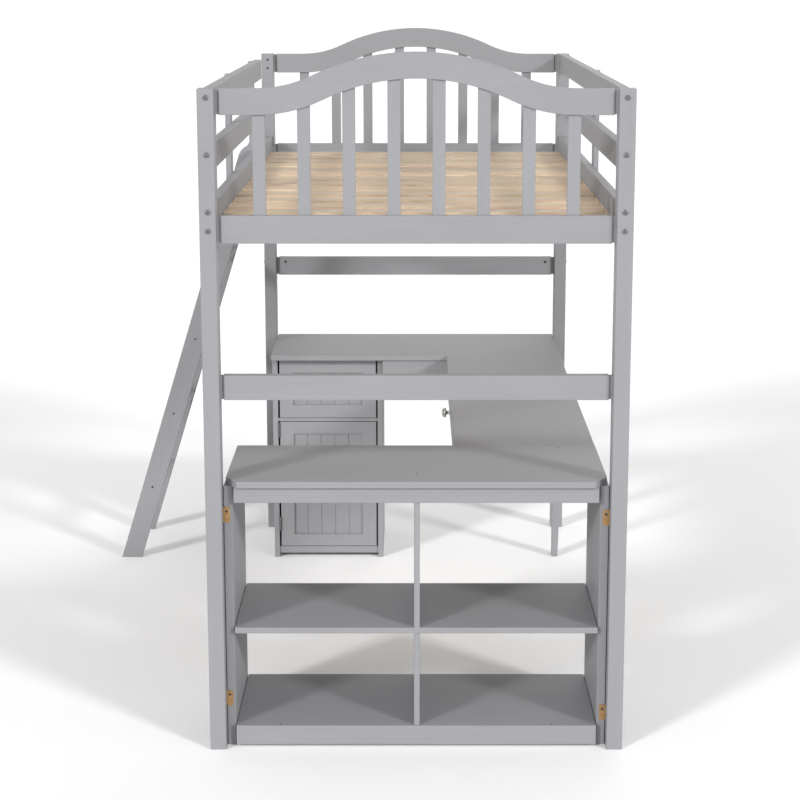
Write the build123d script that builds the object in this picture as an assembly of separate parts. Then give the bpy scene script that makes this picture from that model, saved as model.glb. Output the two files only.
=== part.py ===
from build123d import *
from math import atan, cos, sin
import os

# A loft bed with a ladder, a U-shaped desk, a drawer cabinet and an open bookcase under it.
#
# Everything is drawn in bed coordinates: x = 0 on the bed's centre line, y = 0 at the front faces
# of the front posts (the bookcase end), z = 0 on the floor, +y towards the ladder end.
# The part's own origin is the middle of its footprint, so each piece is moved there as it is saved.

# ---- Driving sizes, mm -------------------------------------------------------------------------

# Bed frame
WIDTH = 1080.0                    # over the posts
LENGTH = 2020.0                   # over the posts
HEIGHT = 1723.0                   # post tops
POST_ACROSS = 41.5                # post thickness across the bed
POST_ALONG = 57.0                 # post depth along the bed
EASE = 1.5                        # rounding of a board's long edges
POST_EASE = 2.5

# End panels: an arched top rail, a lower rail, vertical spindles and a cross rail below
END_RAIL_THICK = 25.0
ARCH_RISE = 89.6                  # crown above the post tops
ARCH_REACH = 395.0                # half-width of the curved part
ARCH_CROWN_SHARE = 0.656          # crown radius as a share of crown radius + foot radius
ARCH_DEPTH = 65.0                 # depth of the arched rail, the same all along
LOWER_RAIL = (1338.0, 1408.0)
CROSS_RAIL = (937.0, 1001.0)
SHOULDER = 10.5                   # the thin neck that shows between a rail and its post
NECK_THICK = 15.0
NECK_SETBACK = 2.0                # the neck is lower than its rail by this much, top and bottom
TENON = 12.0                      # length hidden in the post
SPINDLE_WIDE = 32.0
SPINDLE_THICK = 14.0
SPINDLE_PITCH = 111.7
SPINDLES_PER_SIDE = 4
SPINDLE_TENON = 10.0

# Long sides: bed rails, guard rails, guard stiles
SIDE_THICK = 24.0
SIDE_INNER = 506.0                # centre line to the inner face of the long rails
SIDE_RAIL = (1349.0, 1437.0)
MIDDLE_GUARD = (1519.0, 1582.0)
TOP_GUARD = (1661.0, HEIGHT)
ENTRY_START = 1545.0              # where the left guard rails stop for the ladder
STILE_THICK = 15.0
STILE_WIDE = 58.0
STILE_TOP = 1719.0
RIGHT_STILE_Y = 942.0
LEFT_STILE_Y = 731.0

# Slat deck
SLAT_COUNT = 14
SLAT_PITCH = 131.5
SLAT_WIDE = 86.0
SLAT_THICK = 18.0
SLAT_TOP = 1386.0
SLAT_HALF = 505.0
SLAT_EASE = 2.0
LEDGE_WIDE = 22.0
LEDGE_SCREW_COUNT = 5
LEDGE_SCREW_FIRST = 150.0
LEDGE_SCREW_PITCH = 400.0

# Ladder
LADDER_SLOPE = 0.307              # sideways run for each millimetre of height
LADDER_MEETS = 1381.0             # height at which its inner edge meets the bed rail
LADDER_STILE_WIDE = 69.0          # measured level
LADDER_THICK = 22.0
LADDER_FRONT_Y = 1611.0
LADDER_OVERALL = 348.0
LADDER_TOP_R = 48.0               # rounded outer corner at the top of a stile
TREAD_THICK = 22.0
TREAD_WIDE = 64.0
TREAD_FIRST = 253.0               # height of the first tread's middle
TREAD_PITCH = 261.0
TREAD_COUNT = 5
TREAD_HOUSING = 6.0               # how far a tread is let into a stile
TREAD_EASE = 4.0
LADDER_BOLT_Z = 1411.0
LADDER_NUT_REACH = 50.0           # from the bed rail's inner face to the nut in the stile

# Furniture under the bed
UNIT_HALF = 492.0                 # half-width of the desk tops and the bookcase top
BOARD = 18.0
SIDE_BOARD = 22.0                 # the bookcase sides are thicker
TOP_Z = 724.0                     # working height of the desk
UNDER_TOP = TOP_Z - BOARD
BOOKCASE_BACK = 380.0
BOOKCASE_TOP_FRONT = 11.0
TOP_CORNER = (33.0, 46.0)         # corner cut of the bookcase top, across and along
BOOKCASE_SIDE_FRONT = 35.0
BOOKCASE_FRONT = 20.0             # front of the apron, the kick board and the bottom board
SHELF_GAP = 2.0                   # gap at each end of the shelves
APRON_DEEP = 41.0
APRON_HALF = 469.0
SHELF = (311.0, 327.0)
SHELF_FRONT = 24.0
DIVIDER = (-6.0, 9.0)
BOTTOM_TOP = 58.0
KICK_CLEAR = 5.0                  # the kick board clears the floor
TIGHT_EASE = 0.4                  # where the bottom board meets the kick board
SIDE_SCREW_Y = (90.0, 325.0)
KICK_SCREW_X = 356.0
DIVIDER_SCREW_Y = 88.0

SIDE_DESK_INNER = 106.0           # free edge of the side desk
SIDE_DESK_END = 1583.0            # the rear desk starts here
REAR_DESK_BACK = 1963.0
DESK_APRON_DEEP = 100.0
REAR_APRON_DEEP = 70.0
APRON_SETBACK = 3.0
REAR_APRON_SETBACK = 7.0
CLEAT_WIDE = 40.0                 # the cleat that ties the side desk to the bookcase
CLEAT_SCREW = (392.0, 352.0)      # x and y
REAR_APRON_SCREW_X = -41.0

# Desk drawer, which slides out towards -x
BAY = (797.0, 1333.0)             # the drawer's bay between two cross rails
FRONT_GAP = 2.0
DRAWER_CLEAR = 6.0                # space for a runner at each side of a drawer box
BOX_SIDE = 12.0
BOX_BOTTOM = 6.0
BOX_BOTTOM_UP = 6.0               # from a side's lower edge to the bottom
GROOVE = 5.0                      # depth of the grooves that hold a drawer's bottom
RUNNER_TALL = 10.0
RUNNER_THICK = 11.0
RUNNER_INSET = 12.0               # a runner is this much shorter than its box at each end
RUNNER_EASE = 1.0
RUNNER_OVER = 0.3                 # play above a runner
RUNNER_UNDER = 0.7                # play below it
DESK_BOX_DEEP = 328.0
DESK_BOX = (618.0, 688.0)
DESK_RUNNER_Z = 648.0

# Cabinet
CABINET = (-490.0, -112.0)
CABINET_FRONT = 1613.0
CABINET_BACK = 1945.0
BACK_THICK = 6.0
CABINET_BOTTOM = (13.0, 37.0)
CABINET_DIVIDER = (486.0, 497.0)
CABINET_BOTTOM_SETBACK = 3.0
CABINET_SCREW_IN = 60.0           # from the cabinet's front and back to its screws
FRONT_INSET = 2.0
LEAF_X = (-466.0, -135.0)         # width of the door and of the drawer front
DOOR_Z = (40.0, 484.0)
DRAWER_Z = (499.0, 700.0)
PANEL_X = (-420.0, -182.5)        # recessed panel
DOOR_PANEL_Z = (81.5, 442.0)
DRAWER_PANEL_Z = (543.0, 657.0)
PANEL_RECESS = 6.0
PANEL_THICK = 9.0
PANEL_TONGUE = 6.0
BEAD_COUNT = 5                    # boards in a panel, with a V groove between each two
BEAD_GROOVE = 2.0
CABINET_BOX = (512.0, 668.0)
CABINET_BOX_BACK = 1925.0
CABINET_RUNNER_Z = 584.0

# Door hinges: knuckles stand in the gap beside the door, just proud of its face
HINGE_X = -469.0
HINGE_Y = 1611.0
HINGE_Z = (120.0, 455.0)
HINGE_TALL = 51.0
KNUCKLE_R = 2.6
PIN_R = 1.2
PIN_CLEAR = 0.05
LEAF_THICK = 1.2
LEAF_DEEP = 28.0
PIN_HEAD_R = 2.2
PIN_HEAD_TALL = 1.5
KNUCKLE_GAP = 0.4

# Desk leg
LEG_X = (477.0, 500.0)
LEG_Y = (1617.0, 1662.0)
LEG_TAPER = 4.0
LEG_TAPER_TALL = 150.0

# Knobs
KNOB_R = 16.0
KNOB_LONG = 26.0
KNOB_BASE_R = 7.5
KNOB_WAIST_R = 5.0
KNOB_WAIST = 7.0                  # height of the waist above the base
KNOB_EDGE = 18.5                  # height of the widest part
KNOB_SCREW_IN = 11.0
KNOB_SCREW_R = 2.0
KNOB_SCREW_HEAD_R = 4.0
KNOB_SCREW_HEAD_TALL = 2.4
DESK_KNOB = (1065.0, 650.0)       # y and z
DRAWER_KNOB_Z = 600.0
DOOR_KNOB = (-159.0, 261.0)       # x and z

# Hardware
BOLT_R = 3.0
BOLT_HEAD_R = 6.5
BOLT_HEAD_TALL = 3.0
SOCKET_FLATS = 4.0
SOCKET_DEEP = 2.0
BOLT_HOLE_R = 3.2
BOLT_PAST_NUT = 7.0
NUT_R = 4.9
NUT_HOLE_R = 5.0
NUT_LONG = 14.0
NUT_INSET = 33.0                  # from a rail's end to its nut
SIDE_BOLT_Z = (1371.0, 1418.5)
GUARD_BOLT_Z = (1561.0, 1702.0)
CROSS_BOLT_Z = 984.0
SPARE_HOLES_Z = (1674.0, 1703.0)  # unused holes in the rear left post
SPARE_HOLE_DEEP = 20.0
SPARE_HOLE_R = 3.5
SCREW_R = 1.8
SCREW_HEAD_R = 3.8
SCREW_HEAD_TALL = 2.2
SCREW_SINK = 0.3
SCREW_SLOT = (4.4, 0.9, 1.1)      # cross recess: long, wide, deep
SHORT_SCREW = 24.0                # brackets
MEDIUM_SCREW = 28.0               # slats, guard stiles and the cleat
KICK_SCREW = 32.0
LEDGE_SCREW = 34.0
PANEL_SCREW = 40.0                # cabinet and rear apron
TREAD_SCREW = 45.0
LONG_SCREW = 48.0                 # bookcase
BRACKET_THICK = 2.0
BRACKET_TALL = 41.0
BRACKET_FACE = 17.5               # width of the leaf on the furniture
BRACKET_LEG = 23.0                # length of the leaf on the post
BRACKET_CORNER = 4.0
BRACKET_FACE_SCREW = 9.0          # from the post, and as much above the bracket's middle
BRACKET_LEG_SCREW = 15.0
LEFT_BRACKETS_Z = (130.0, 630.0)
RIGHT_BRACKETS_Z = (90.0, 622.0)
REAR_BRACKET_Z = 671.0

# ---- Worked out from them ----------------------------------------------------------------------

HALF = WIDTH / 2
POST_INNER = HALF - POST_ACROSS
REAR = LENGTH - POST_ALONG        # front faces of the rear posts
INSIDE_HALF = POST_INNER - BRACKET_THICK - SIDE_BOARD
SIDE_OUTER = SIDE_INNER + SIDE_THICK
SIDE_MIDDLE = SIDE_INNER + SIDE_THICK / 2
STILE_OUTER = SIDE_OUTER + STILE_THICK
LADDER_INNER_FOOT = -(SIDE_OUTER + LADDER_SLOPE * LADDER_MEETS)
LADDER_FOOT = LADDER_INNER_FOOT - LADDER_STILE_WIDE
LADDER_REAR_Y = LADDER_FRONT_Y + LADDER_OVERALL - LADDER_THICK
END_RAIL_Y = (POST_ALONG - END_RAIL_THICK) / 2
SLAT_BOTTOM = SLAT_TOP - SLAT_THICK
FRONT_FACE = CABINET_FRONT + FRONT_INSET
ARCH_ANGLE = 2 * atan(ARCH_RISE / ARCH_REACH)
CROWN_R = ARCH_CROWN_SHARE * ARCH_REACH / sin(ARCH_ANGLE)
FOOT_R = ARCH_REACH / sin(ARCH_ANGLE) - CROWN_R
ORIGIN = ((LADDER_FOOT + STILE_OUTER) / 2, LENGTH / 2, 0.0)

UP = (0, 0, 1)
DOWN = (0, 0, -1)

nodes = {}
screws = []
screw_holes = []
screw_shapes = {}                 # one screw and one hole for each length


# ---- Helpers -----------------------------------------------------------------------------------

def block(x, y, z):
    """A plain block between its low and high corners."""
    size = [high - low for low, high in (x, y, z)]
    middle = [(high + low) / 2 for low, high in (x, y, z)]
    return Pos(*middle) * Box(*size)


def board(x, y, z, along, ease=EASE):
    """A block whose four edges along one axis are rounded over."""
    return fillet(block(x, y, z).edges().filter_by(along), ease)


def across(side, inner, outer):
    """The x range between two distances from the centre line, on one side of the bed."""
    return tuple(sorted((side * inner, side * outer)))


def rod(start, direction, radius, length):
    """A round bar from a point along a direction."""
    return Plane(origin=start, z_dir=direction) * Cylinder(
        radius, length, align=(Align.CENTER, Align.CENTER, Align.MIN)
    )


def reach(start, direction, distance):
    """The point at a distance from a start along a direction."""
    return tuple(s + distance * d for s, d in zip(start, direction))


def opposite(direction):
    return tuple(-d for d in direction)


def group(pieces):
    """Separate solids that share one node."""
    return Compound([piece.solid() for piece in pieces])


def screw_blank(length):
    """A countersunk screw with a cross recess, head top at the origin, pointing along +z."""
    head_end = (0, 0, SCREW_HEAD_TALL)
    head = rod((0, 0, 0), UP, SCREW_HEAD_R, SCREW_HEAD_TALL)
    long, wide, deep = SCREW_SLOT
    into = (Align.CENTER, Align.CENTER, Align.MIN)
    slot = Box(long, wide, deep, align=into) + Box(wide, long, deep, align=into)
    return head + rod(head_end, UP, SCREW_R, length) - slot


def screw_hole(length):
    """The pocket and pilot hole that a screw fills, from the face inwards along +z."""
    pocket_deep = SCREW_SINK + SCREW_HEAD_TALL
    pocket = rod((0, 0, 0), UP, SCREW_HEAD_R, pocket_deep)
    return pocket + rod((0, 0, pocket_deep), UP, SCREW_R, length)


def drive_screw(face, direction, length):
    """Adds a screw sunk into a face, and remembers the hole that it needs."""
    if length not in screw_shapes:
        screw_shapes[length] = (screw_blank(length), screw_hole(length))
    blank, hole = screw_shapes[length]
    head_top = reach(face, direction, SCREW_SINK)
    screws.append(Plane(origin=head_top, z_dir=direction) * blank)
    screw_holes.append(Plane(origin=face, z_dir=direction) * hole)


def bolt(face, direction, to_nut):
    """A furniture bolt with a round socket head that stands on a face."""
    out = opposite(direction)
    shank = rod(face, direction, BOLT_R, to_nut + BOLT_PAST_NUT)
    head = rod(face, out, BOLT_HEAD_R, BOLT_HEAD_TALL)
    rim = head.edges().filter_by(GeomType.CIRCLE).group_by(SortBy.RADIUS)[-1]
    far_rim = max(rim, key=lambda edge: (edge.center() - Vector(*face)).length)
    head = fillet(far_rim, BOLT_HEAD_TALL / 2)
    socket = extrude(RegularPolygon(SOCKET_FLATS / 2, 6, major_radius=False), -SOCKET_DEEP)
    return head + shank - Plane(origin=reach(face, out, BOLT_HEAD_TALL), z_dir=out) * socket


def barrel_nut(face, direction, to_nut, opening):
    """The cross dowel that a bolt screws into; opening points out of its hole."""
    middle = reach(face, direction, to_nut)
    start = reach(middle, opening, -NUT_LONG / 2)
    nut = rod(start, opening, NUT_R, NUT_LONG)
    return nut - rod(face, direction, BOLT_HOLE_R, to_nut + NUT_LONG)


def bolt_hole(face, direction, to_nut):
    return rod(face, direction, BOLT_HOLE_R, to_nut + BOLT_PAST_NUT + BOLT_HOLE_R)


def nut_hole(face, direction, to_nut, opening, to_face):
    """The blind hole of a barrel nut, out through the face at that distance from its middle."""
    start = reach(reach(face, direction, to_nut), opening, -NUT_LONG / 2)
    return rod(start, opening, NUT_HOLE_R, NUT_LONG / 2 + to_face)


# ---- Bolts: one list for the long rails, one for the cross rails, one for the ladder -----------

def bolted_joints():
    """Each joint as (point on the face, direction in, distance to nut, nut opening, depth)."""
    joints = []
    to_side_nut = POST_ALONG + NUT_INSET
    for side in (-1, 1):
        inward = (-side, 0, 0)
        for front in (True, False):
            y = 0.0 if front else LENGTH
            direction = (0, 1, 0) if front else (0, -1, 0)
            guards = GUARD_BOLT_Z if front or side > 0 else ()
            for z in SIDE_BOLT_Z + guards:
                face = (side * SIDE_MIDDLE, y, z)
                joints.append((face, direction, to_side_nut, inward, SIDE_THICK / 2))
            face = (side * HALF, y + direction[1] * POST_ALONG / 2, CROSS_BOLT_Z)
            to_cross_nut = POST_ACROSS + NUT_INSET
            joints.append((face, inward, to_cross_nut, direction, END_RAIL_THICK / 2))
    stile_front = LADDER_FRONT_Y + LADDER_THICK / 2
    stile_rear = LADDER_REAR_Y + LADDER_THICK / 2
    for y, opening in ((stile_front, (0, 1, 0)), (stile_rear, (0, -1, 0))):
        face = (-SIDE_INNER, y, LADDER_BOLT_Z)
        joints.append((face, (-1, 0, 0), LADDER_NUT_REACH, opening, LADDER_THICK / 2))
    return joints


joints = bolted_joints()
bolts = [bolt(face, direction, to_nut) for face, direction, to_nut, _, _ in joints]
nuts = [barrel_nut(*joint[:4]) for joint in joints]
bolt_cuts = [bolt_hole(*joint[:3]) for joint in joints]
bolt_cuts += [nut_hole(*joint) for joint in joints]


# ---- Bed frame ---------------------------------------------------------------------------------

def rail_blank(z, y):
    """An end rail with its thin necks and tenons, between two posts."""
    shoulder = POST_INNER - SHOULDER
    body = board((-shoulder, shoulder), y, z, Axis.X)
    return body + neck(z, y)


def neck(z, y):
    """The thin bar that runs through an end rail and into both posts."""
    middle = sum(y) / 2
    half = POST_INNER + TENON
    neck_y = (middle - NECK_THICK / 2, middle + NECK_THICK / 2)
    return block((-half, half), neck_y, (z[0] + NECK_SETBACK, z[1] - NECK_SETBACK))


def arch_edge(level, crown_radius, foot_radius, half):
    """One edge of the arched rail: flat end, hollow, crown, hollow, flat end."""
    turn = crown_radius * sin(ARCH_ANGLE)
    turn_z = level + ARCH_RISE - crown_radius * (1 - cos(ARCH_ANGLE))
    crown = ThreePointArc((-turn, turn_z), (0, level + ARCH_RISE), (turn, turn_z))
    bend = foot_radius * sin(ARCH_ANGLE / 2)
    bend_z = level + foot_radius * (1 - cos(ARCH_ANGLE / 2))
    edges = [crown]
    for side in (-1, 1):
        middle = (side * (ARCH_REACH - bend), bend_z)
        edges.append(ThreePointArc((side * turn, turn_z), middle, (side * ARCH_REACH, level)))
        edges.append(Line((side * ARCH_REACH, level), (side * half, level)))
    return edges


def arch_rail(y):
    """The arched top rail: both edges are parallel curves, ARCH_DEPTH apart."""
    half = POST_INNER - SHOULDER
    top = arch_edge(HEIGHT, CROWN_R, FOOT_R, half)
    bottom_level = HEIGHT - ARCH_DEPTH
    bottom = arch_edge(bottom_level, CROWN_R - ARCH_DEPTH, FOOT_R + ARCH_DEPTH, half)
    ends = [Line((side * half, bottom_level), (side * half, HEIGHT)) for side in (-1, 1)]
    outline = make_face(top + bottom + ends)
    body = extrude(Plane(origin=(0, y[1], 0), x_dir=(1, 0, 0), z_dir=(0, -1, 0)) * outline,
                   y[1] - y[0])
    body = fillet(body.edges().filter_by(Plane.XZ).group_by(Axis.Y)[0], EASE)
    body = fillet(body.edges().filter_by(Plane.XZ).group_by(Axis.Y)[-1], EASE)
    low = (bottom_level, HEIGHT)
    for side in (-1, 1):
        stub = neck(low, y) & block(across(side, half, HALF), y, low)
        body = body + stub
    return body


def arch_bottom(x):
    """Height of the arched rail's lower edge at a distance from the centre line."""
    crown = CROWN_R - ARCH_DEPTH
    foot = FOOT_R + ARCH_DEPTH
    level = HEIGHT - ARCH_DEPTH
    x = abs(x)
    if x < crown * sin(ARCH_ANGLE):
        return level + ARCH_RISE - crown + (crown**2 - x**2) ** 0.5
    if x < ARCH_REACH:
        return level + foot - (foot**2 - (ARCH_REACH - x) ** 2) ** 0.5
    return level


def spindle(x, y):
    """A flat upright, let into the lower rail and the arched rail."""
    sides = (x - SPINDLE_WIDE / 2, x + SPINDLE_WIDE / 2)
    top = min(arch_bottom(edge) for edge in sides) + SPINDLE_TENON
    return board(sides, y, (LOWER_RAIL[1] - SPINDLE_TENON, top), Axis.Z)


def end_panel(name, y0):
    """The arch, lower rail and cross rail of one end; returns its spindles."""
    y = (y0 + END_RAIL_Y, y0 + END_RAIL_Y + END_RAIL_THICK)
    middle = sum(y) / 2
    spindle_y = (middle - SPINDLE_THICK / 2, middle + SPINDLE_THICK / 2)
    spindles = []
    for side in (-1, 1):
        for place in range(SPINDLES_PER_SIDE):
            spindles.append(spindle(side * (place + 0.5) * SPINDLE_PITCH, spindle_y))
    nodes[name + "_arch_rail"] = arch_rail(y) - spindles
    nodes[name + "_lower_rail"] = rail_blank(LOWER_RAIL, y) - spindles
    nodes[name + "_cross_rail"] = rail_blank(CROSS_RAIL, y) - bolt_cuts
    return spindles


def posts():
    """Four posts, mortised for the end rails and drilled for the bolts."""
    for name, y0 in (("front", 0.0), ("rear", REAR)):
        rail_y = (y0 + END_RAIL_Y, y0 + END_RAIL_Y + END_RAIL_THICK)
        mortises = [neck(z, rail_y) for z in ((HEIGHT - ARCH_DEPTH, HEIGHT), LOWER_RAIL, CROSS_RAIL)]
        for side, hand in ((-1, "left"), (1, "right")):
            x = across(side, POST_INNER, HALF)
            body = board(x, (y0, y0 + POST_ALONG), (0, HEIGHT), Axis.Z, POST_EASE)
            nodes[name + "_" + hand + "_post"] = body - mortises - bolt_cuts
    spare = [rod((-SIDE_MIDDLE, REAR, z), (0, 1, 0), SPARE_HOLE_R, SPARE_HOLE_DEEP)
             for z in SPARE_HOLES_Z]
    nodes["rear_left_post"] = nodes["rear_left_post"] - spare


def long_sides():
    """Bed rails, slat ledges, guard rails and the stiles that tie them together."""
    between = (POST_ALONG, REAR)
    ledges = []
    for side, hand in ((-1, "left"), (1, "right")):
        x = across(side, SIDE_INNER, SIDE_OUTER)
        nodes[hand + "_side_rail"] = board(x, between, SIDE_RAIL, Axis.Y) - bolt_cuts
        guard_y = between if side > 0 else (POST_ALONG, ENTRY_START)
        rails = [board(x, guard_y, z, Axis.Y) - bolt_cuts for z in (MIDDLE_GUARD, TOP_GUARD)]
        nodes[hand + "_guard_rails"] = rails
        ledge_x = across(side, SIDE_INNER - LEDGE_WIDE, SIDE_INNER)
        ledges.append(board(ledge_x, between, (SIDE_RAIL[0], SLAT_BOTTOM), Axis.Y))
        for place in range(LEDGE_SCREW_COUNT):
            y = POST_ALONG + LEDGE_SCREW_FIRST + place * LEDGE_SCREW_PITCH
            ledge_z = (SIDE_RAIL[0] + SLAT_BOTTOM) / 2
            drive_screw((side * (SIDE_INNER - LEDGE_WIDE), y, ledge_z), (side, 0, 0), LEDGE_SCREW)
    nodes["slat_ledges"] = ledges

    stiles = []
    end_stile = ENTRY_START - STILE_WIDE
    for side, y in ((1, RIGHT_STILE_Y), (-1, LEFT_STILE_Y), (-1, end_stile)):
        x = across(side, SIDE_OUTER, STILE_OUTER)
        stiles.append(board(x, (y, y + STILE_WIDE), (SIDE_RAIL[0], STILE_TOP), Axis.Z))
        for low, high in (SIDE_RAIL, MIDDLE_GUARD, TOP_GUARD):
            for third in (1 / 3, 2 / 3):
                height = low + (high - low) / 2
                spot = (side * STILE_OUTER, y + STILE_WIDE * third, height)
                drive_screw(spot, (-side, 0, 0), MEDIUM_SCREW)
    nodes["guard_stiles"] = stiles


def slat_deck():
    """Bare pine slats across the ledges, a screw through each end."""
    slats = []
    first = LENGTH / 2 - (SLAT_COUNT - 1) / 2 * SLAT_PITCH
    for place in range(SLAT_COUNT):
        middle = first + place * SLAT_PITCH
        y = (middle - SLAT_WIDE / 2, middle + SLAT_WIDE / 2)
        slats.append(board((-SLAT_HALF, SLAT_HALF), y, (SLAT_BOTTOM, SLAT_TOP), Axis.X, SLAT_EASE))
        for side in (-1, 1):
            spot = (side * (SIDE_INNER - LEDGE_WIDE / 2), middle, SLAT_TOP)
            drive_screw(spot, DOWN, MEDIUM_SCREW)
    nodes["bed_slats"] = slats


# ---- Ladder ------------------------------------------------------------------------------------

def ladder_stile(y):
    """A leaning board: level foot, upright face against the bed rail, rounded top."""
    top = SIDE_RAIL[1]
    outline = Polyline(
        (LADDER_FOOT, 0),
        (LADDER_INNER_FOOT, 0),
        (-SIDE_OUTER, LADDER_MEETS),
        (-SIDE_OUTER, top),
        (LADDER_FOOT + LADDER_SLOPE * top, top),
        close=True,
    )
    shape = make_face(outline)
    outer_corner = shape.vertices().group_by(Axis.Y)[-1].sort_by(Axis.X)[0]
    shape = fillet(outer_corner, LADDER_TOP_R)
    face = Plane(origin=(0, y + LADDER_THICK, 0), x_dir=(1, 0, 0), z_dir=(0, -1, 0))
    body = extrude(face * shape, LADDER_THICK)
    leaning = Vector(LADDER_SLOPE, 0, 1).normalized()
    long_edges = [e for e in body.edges() if abs(e.tangent_at(0.5).dot(leaning)) > 0.999]
    return fillet(long_edges, EASE)


def ladder():
    """Two stiles with flat treads let into them."""
    treads = []
    tread_y = (LADDER_FRONT_Y + LADDER_THICK - TREAD_HOUSING, LADDER_REAR_Y + TREAD_HOUSING)
    for place in range(TREAD_COUNT):
        z = TREAD_FIRST + place * TREAD_PITCH
        x = (LADDER_FOOT + LADDER_INNER_FOOT) / 2 + LADDER_SLOPE * z
        span = (x - TREAD_WIDE / 2, x + TREAD_WIDE / 2)
        thick = (z - TREAD_THICK / 2, z + TREAD_THICK / 2)
        treads.append(board(span, tread_y, thick, Axis.Y, TREAD_EASE))
        drive_screw((x, LADDER_FRONT_Y, z), (0, 1, 0), TREAD_SCREW)
        drive_screw((x, LADDER_FRONT_Y + LADDER_OVERALL, z), (0, -1, 0), TREAD_SCREW)
    nodes["ladder_front_stile"] = ladder_stile(LADDER_FRONT_Y) - treads - bolt_cuts
    nodes["ladder_rear_stile"] = ladder_stile(LADDER_REAR_Y) - treads - bolt_cuts
    nodes["ladder_treads"] = treads


# ---- Bookcase ----------------------------------------------------------------------------------

def bookcase():
    """Open both ways: two sides, a divider halved over a shelf, bottom, kick board and top."""
    depth = (SHELF_FRONT, BOOKCASE_BACK)
    inner = (-INSIDE_HALF, INSIDE_HALF)
    shelf_half = INSIDE_HALF - SHELF_GAP
    for side, hand in ((-1, "left"), (1, "right")):
        outside = INSIDE_HALF + SIDE_BOARD
        x = across(side, INSIDE_HALF, outside)
        panel = board(x, (BOOKCASE_SIDE_FRONT, BOOKCASE_BACK), (0, UNDER_TOP), Axis.Z)
        nodes["bookcase_" + hand + "_side"] = panel
        for z in (sum(SHELF) / 2, BOTTOM_TOP - BOARD / 2):
            for y in SIDE_SCREW_Y:
                drive_screw((side * outside, y, z), (-side, 0, 0), LONG_SCREW)

    apron_z = (UNDER_TOP - APRON_DEEP, UNDER_TOP)
    apron_y = (BOOKCASE_FRONT, BOOKCASE_FRONT + BOARD)
    apron = board((-APRON_HALF, APRON_HALF), apron_y, apron_z, Axis.X)
    nodes["bookcase_apron"] = apron

    half_lap = sum(depth) / 2
    divider = board(DIVIDER, depth, (BOTTOM_TOP, UNDER_TOP), Axis.Z)
    lap = block(DIVIDER, (SHELF_FRONT - 1, half_lap), SHELF)
    nodes["bookcase_divider"] = divider - lap - block(inner, (0, apron_y[1]), apron_z)

    shelf = board((-shelf_half, shelf_half), depth, SHELF, Axis.X)
    nodes["bookcase_shelf"] = shelf - block(DIVIDER, (half_lap, BOOKCASE_BACK + 1), SHELF)

    bottom_z = (BOTTOM_TOP - BOARD, BOTTOM_TOP)
    bottom_y = (BOOKCASE_FRONT, BOOKCASE_BACK)
    across_inside = (-shelf_half, shelf_half)
    nodes["bookcase_bottom"] = board(across_inside, bottom_y, bottom_z, Axis.X, TIGHT_EASE)
    kick_y = (BOOKCASE_FRONT, BOOKCASE_FRONT + BOARD)
    kick_z = (KICK_CLEAR, BOTTOM_TOP - BOARD)
    nodes["bookcase_kick_board"] = board(across_inside, kick_y, kick_z, Axis.X, TIGHT_EASE)
    for x in (-KICK_SCREW_X, KICK_SCREW_X):
        drive_screw((x, BOOKCASE_FRONT + BOARD / 2, BOTTOM_TOP), DOWN, KICK_SCREW)

    top_y = (BOOKCASE_TOP_FRONT, BOOKCASE_BACK)
    top = board((-UNIT_HALF, UNIT_HALF), top_y, (UNDER_TOP, TOP_Z), Axis.X)
    cut_x, cut_y = TOP_CORNER
    for side in (-1, 1):
        corner = Polyline(
            (side * (UNIT_HALF - cut_x), BOOKCASE_TOP_FRONT - 1),
            (side * (UNIT_HALF + 1), BOOKCASE_TOP_FRONT - 1),
            (side * (UNIT_HALF + 1), BOOKCASE_TOP_FRONT + cut_y),
            close=True,
        )
        top = top - Pos(0, 0, UNDER_TOP - 1) * extrude(make_face(corner), BOARD + 2)
    nodes["bookcase_top"] = top
    drive_screw((sum(DIVIDER) / 2, DIVIDER_SCREW_Y, TOP_Z), DOWN, LONG_SCREW)


def corner_bracket(side, front, z, into):
    """A steel angle: one leaf on the furniture, the other running back along the post.

    The leaf on the furniture starts at front; its screw goes forwards or backwards (into).
    """
    tall = (z - BRACKET_TALL / 2, z + BRACKET_TALL / 2)
    seat = POST_INNER - BRACKET_THICK
    leaf = block(across(side, POST_INNER - BRACKET_FACE, POST_INNER),
                 (front, front + BRACKET_THICK), tall)
    free_corners = [e for e in leaf.edges().filter_by(Axis.Y) if abs(e.center().X) < seat]
    leaf = fillet(free_corners, BRACKET_CORNER)
    leg = block(across(side, seat, POST_INNER), (front, front + BRACKET_LEG), tall)
    leg = fillet(leg.edges().filter_by(Axis.X).group_by(Axis.Y)[-1], BRACKET_CORNER)
    face_y = front if into > 0 else front + BRACKET_THICK
    face = (side * (POST_INNER - BRACKET_FACE_SCREW), face_y, z + BRACKET_FACE_SCREW)
    drive_screw(face, (0, into, 0), SHORT_SCREW)
    drive_screw((side * seat, front + BRACKET_LEG_SCREW, z), (side, 0, 0), SHORT_SCREW)
    return leaf + leg


def corner_brackets():
    """The angles that tie the bookcase to the front posts and the rear desk to the rear posts."""
    brackets = []
    for side, heights in ((-1, LEFT_BRACKETS_Z), (1, RIGHT_BRACKETS_Z)):
        for z in heights:
            brackets.append(corner_bracket(side, BOOKCASE_SIDE_FRONT - BRACKET_THICK, z, 1))
        brackets.append(corner_bracket(side, REAR_DESK_BACK, REAR_BRACKET_Z, -1))
    nodes["corner_brackets"] = brackets


# ---- Desk --------------------------------------------------------------------------------------

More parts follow.
